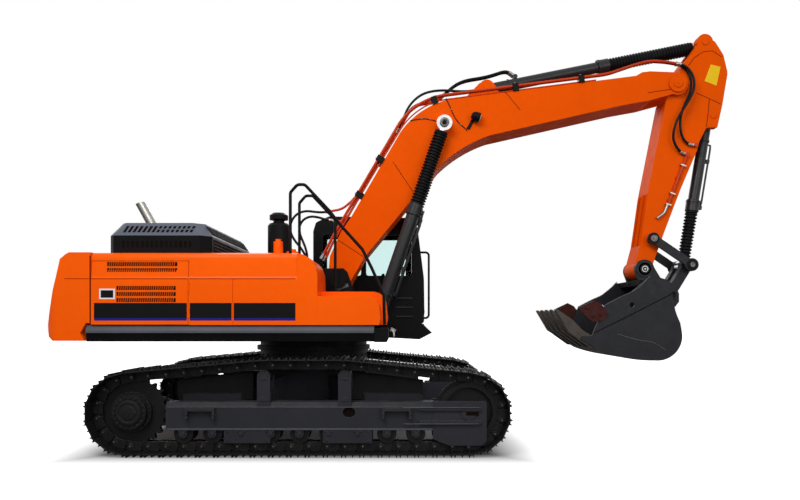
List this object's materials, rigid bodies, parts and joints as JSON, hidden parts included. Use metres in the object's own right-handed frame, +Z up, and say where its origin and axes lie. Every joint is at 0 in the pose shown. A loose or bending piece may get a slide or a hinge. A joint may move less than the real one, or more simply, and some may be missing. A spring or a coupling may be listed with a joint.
{
  "type": "crawler excavator",
  "caption": "Full-size crawler excavator with a swinging house, cab, counterweight, bent boom, arm and toothed bucket on two steel tracks.",
  "frame": {"origin": "middle of the machine's length and width, on the ground under the tracks", "axes": "+X forward towards the bucket, +Y to the machine's left, +Z up"},
  "size_m": [9.0778, 3.2, 5.5798],
  "materials": {
    "undercarriage_black": "satin",
    "track_steel": "worn",
    "black_paint": "satin",
    "orange_paint": "gloss",
    "grey_paint": "satin",
    "slate_paint": "satin",
    "cast_iron": "rough",
    "bright_steel": "brushed",
    "seat_cloth": "woven",
    "cab_glass": "clear",
    "boot_rubber": "matt",
    "rod_chrome": "polished",
    "bucket_grey": "worn",
    "pipe_red": "satin",
    "hose_rubber": "satin",
    "cutter_red": "worn"
  },
  "bodies": {
    "undercarriage": {"centre_frame": "undercarriage_black", "swing_ring": "undercarriage_black", "track_frame_right": "undercarriage_black", "track_frame_left": "undercarriage_black", "track_right": "track_steel", "track_left": "track_steel", "sprockets": "undercarriage_black", "idlers": "undercarriage_black", "lower_rollers": "undercarriage_black", "carrier_rollers": "undercarriage_black", "tow_eye": "undercarriage_black"},
    "house": {"revolving_frame": "black_paint", "counterweight": "orange_paint", "bay_rims": "orange_paint", "engine": "cast_iron", "right_tank": "orange_paint", "left_body": "orange_paint", "centre_cover": "black_paint", "front_box": "orange_paint", "side_rails": "grey_paint", "skirts": "black_paint", "cab_deck": "black_paint", "cab_shell": "black_paint", "cab_glass": "cab_glass", "seat": "seat_cloth", "handrails": "black_paint", "pre_cleaner": "black_paint", "filters": "orange_paint", "foot_hoses": "hose_rubber"},
    "boom": {"boom": "orange_paint", "boom_pipes": "pipe_red", "pipe_clamps": "black_paint", "boom_lamp": "black_paint", "cylinder_hoses": "hose_rubber", "arm_hoses": "hose_rubber"},
    "arm": {"arm": "orange_paint", "arm_pipes": "pipe_red"},
    "boom_cylinder_barrels": {"boom_cylinder_barrel": "black_paint", "boom_cylinder_boot": "boot_rubber"},
    "boom_cylinder_rods": {"boom_cylinder_rod": "rod_chrome"},
    "arm_cylinder_barrel": {"arm_cylinder_barrel": "black_paint", "arm_cylinder_boot": "boot_rubber"},
    "arm_cylinder_rod": {"arm_cylinder_rod": "rod_chrome"},
    "bucket_cylinder_barrel": {"bucket_cylinder_barrel": "black_paint", "bucket_cylinder_boot": "boot_rubber"},
    "bucket_cylinder_rod": {"bucket_cylinder_rod": "rod_chrome"},
    "idler_links": {"idler_links": "bucket_grey"},
    "push_link": {"push_link": "bucket_grey"},
    "bucket": {"bucket": "bucket_grey", "bucket_teeth": "bucket_grey", "side_cutters": "cutter_red"},
    "cab_door": {"cab_door": "black_paint", "door_glass": "cab_glass"},
    "right_door": {"right_door": "orange_paint"},
    "left_door": {"left_door": "orange_paint"},
    "hood": {"hood_base": "black_paint", "hood_top": "slate_paint", "exhaust": "bright_steel"}
  },
  "joints": [
    {"name": "swing", "type": "hinge", "parent": "undercarriage", "child": "house", "pos_m": [-1.189, 0, 1.345], "axis": [0, 0, 1], "continuous": true},
    {"name": "boom_lift", "type": "hinge", "parent": "house", "child": "boom", "pos_m": [-0.819, 0, 2.17], "axis": [0, -1, 0], "range_deg": [-76, 28], "deforming": ["foot_hoses"]},
    {"name": "arm_fold", "type": "hinge", "parent": "boom", "child": "arm", "pos_m": [3.821, 0, 4.87], "axis": [0, 1, 0], "range_deg": [-100, 14], "deforming": ["arm_hoses"]},
    {"name": "bucket_curl", "type": "hinge", "parent": "arm", "child": "bucket", "pos_m": [3.376, 0, 2.33], "axis": [0, 1, 0], "range_deg": [-92, 80]},
    {"name": "boom_cylinder_tilt", "type": "hinge", "parent": "house", "child": "boom_cylinder_barrels", "pos_m": [-0.279, 0, 1.68], "axis": [0, 1, 0], "range_deg": [-28.68, 77]},
    {"name": "boom_cylinder_stroke", "type": "slide", "parent": "boom_cylinder_barrels", "child": "boom_cylinder_rods", "axis": [0.326, 0, 0.9454], "range_m": [-0.8083, 0.301], "deforming": ["boom_cylinder_boot"]},
    {"name": "arm_cylinder_tilt", "type": "hinge", "parent": "boom", "child": "arm_cylinder_barrel", "pos_m": [1.231, 0, 4.87], "axis": [0, 1, 0], "range_deg": [-2.84, 0.83], "deforming": ["cylinder_hoses"]},
    {"name": "arm_cylinder_stroke", "type": "slide", "parent": "arm_cylinder_barrel", "child": "arm_cylinder_rod", "axis": [0.9806, 0, 0.1961], "range_m": [-1.1238, 0.1616], "deforming": ["arm_cylinder_boot"]},
    {"name": "idler_swing", "type": "hinge", "parent": "arm", "child": "idler_links", "pos_m": [3.478, 0, 2.741], "axis": [0, 1, 0], "range_deg": [-68.58, 59.7]},
    {"name": "push_link_swing", "type": "hinge", "parent": "idler_links", "child": "push_link", "pos_m": [4.001, 0, 2.385], "axis": [0, 1, 0], "range_deg": [-52.9, 60.76]},
    {"name": "bucket_cylinder_tilt", "type": "hinge", "parent": "arm", "child": "bucket_cylinder_barrel", "pos_m": [4.341, 0, 4.46], "axis": [0, 1, 0], "range_deg": [-6.94, 6.1]},
    {"name": "bucket_cylinder_stroke", "type": "slide", "parent": "bucket_cylinder_barrel", "child": "bucket_cylinder_rod", "axis": [-0.1617, 0, -0.9868], "range_m": [-0.6152, 0.5356], "deforming": ["bucket_cylinder_boot"]},
    {"name": "cab_door_hinge", "type": "hinge", "parent": "house", "child": "cab_door", "pos_m": [-0.859, 1.5, 2.3], "axis": [0, 0, 1], "range_deg": [0, 120]},
    {"name": "right_door_hinge", "type": "hinge", "parent": "house", "child": "right_door", "pos_m": [-2.509, -1.49, 1.9], "axis": [0, 0, 1], "range_deg": [0, 110]},
    {"name": "left_door_hinge", "type": "hinge", "parent": "house", "child": "left_door", "pos_m": [-2.509, 1.49, 1.9], "axis": [0, 0, -1], "range_deg": [0, 110]},
    {"name": "hood_hinge", "type": "hinge", "parent": "house", "child": "hood", "pos_m": [-2.307, 0, 2.452], "axis": [0, 1, 0], "range_deg": [0, 75]}
  ],
  "couplings": [
    {"joint": "boom_cylinder_tilt", "follows": "boom_lift", "ratio": -1.0066},
    {"joint": "boom_cylinder_stroke", "follows": "boom_lift", "m_per_rad": 0.6056},
    {"joint": "arm_cylinder_tilt", "follows": "arm_fold", "ratio": 0.0234},
    {"joint": "arm_cylinder_stroke", "follows": "arm_fold", "m_per_rad": 0.641},
    {"joint": "idler_swing", "follows": "bucket_curl", "ratio": 0.74},
    {"joint": "push_link_swing", "follows": "bucket_curl", "ratio": -0.655},
    {"joint": "bucket_cylinder_tilt", "follows": "bucket_curl", "ratio": 0.07},
    {"joint": "bucket_cylinder_stroke", "follows": "bucket_curl", "m_per_rad": 0.38}
  ]
}
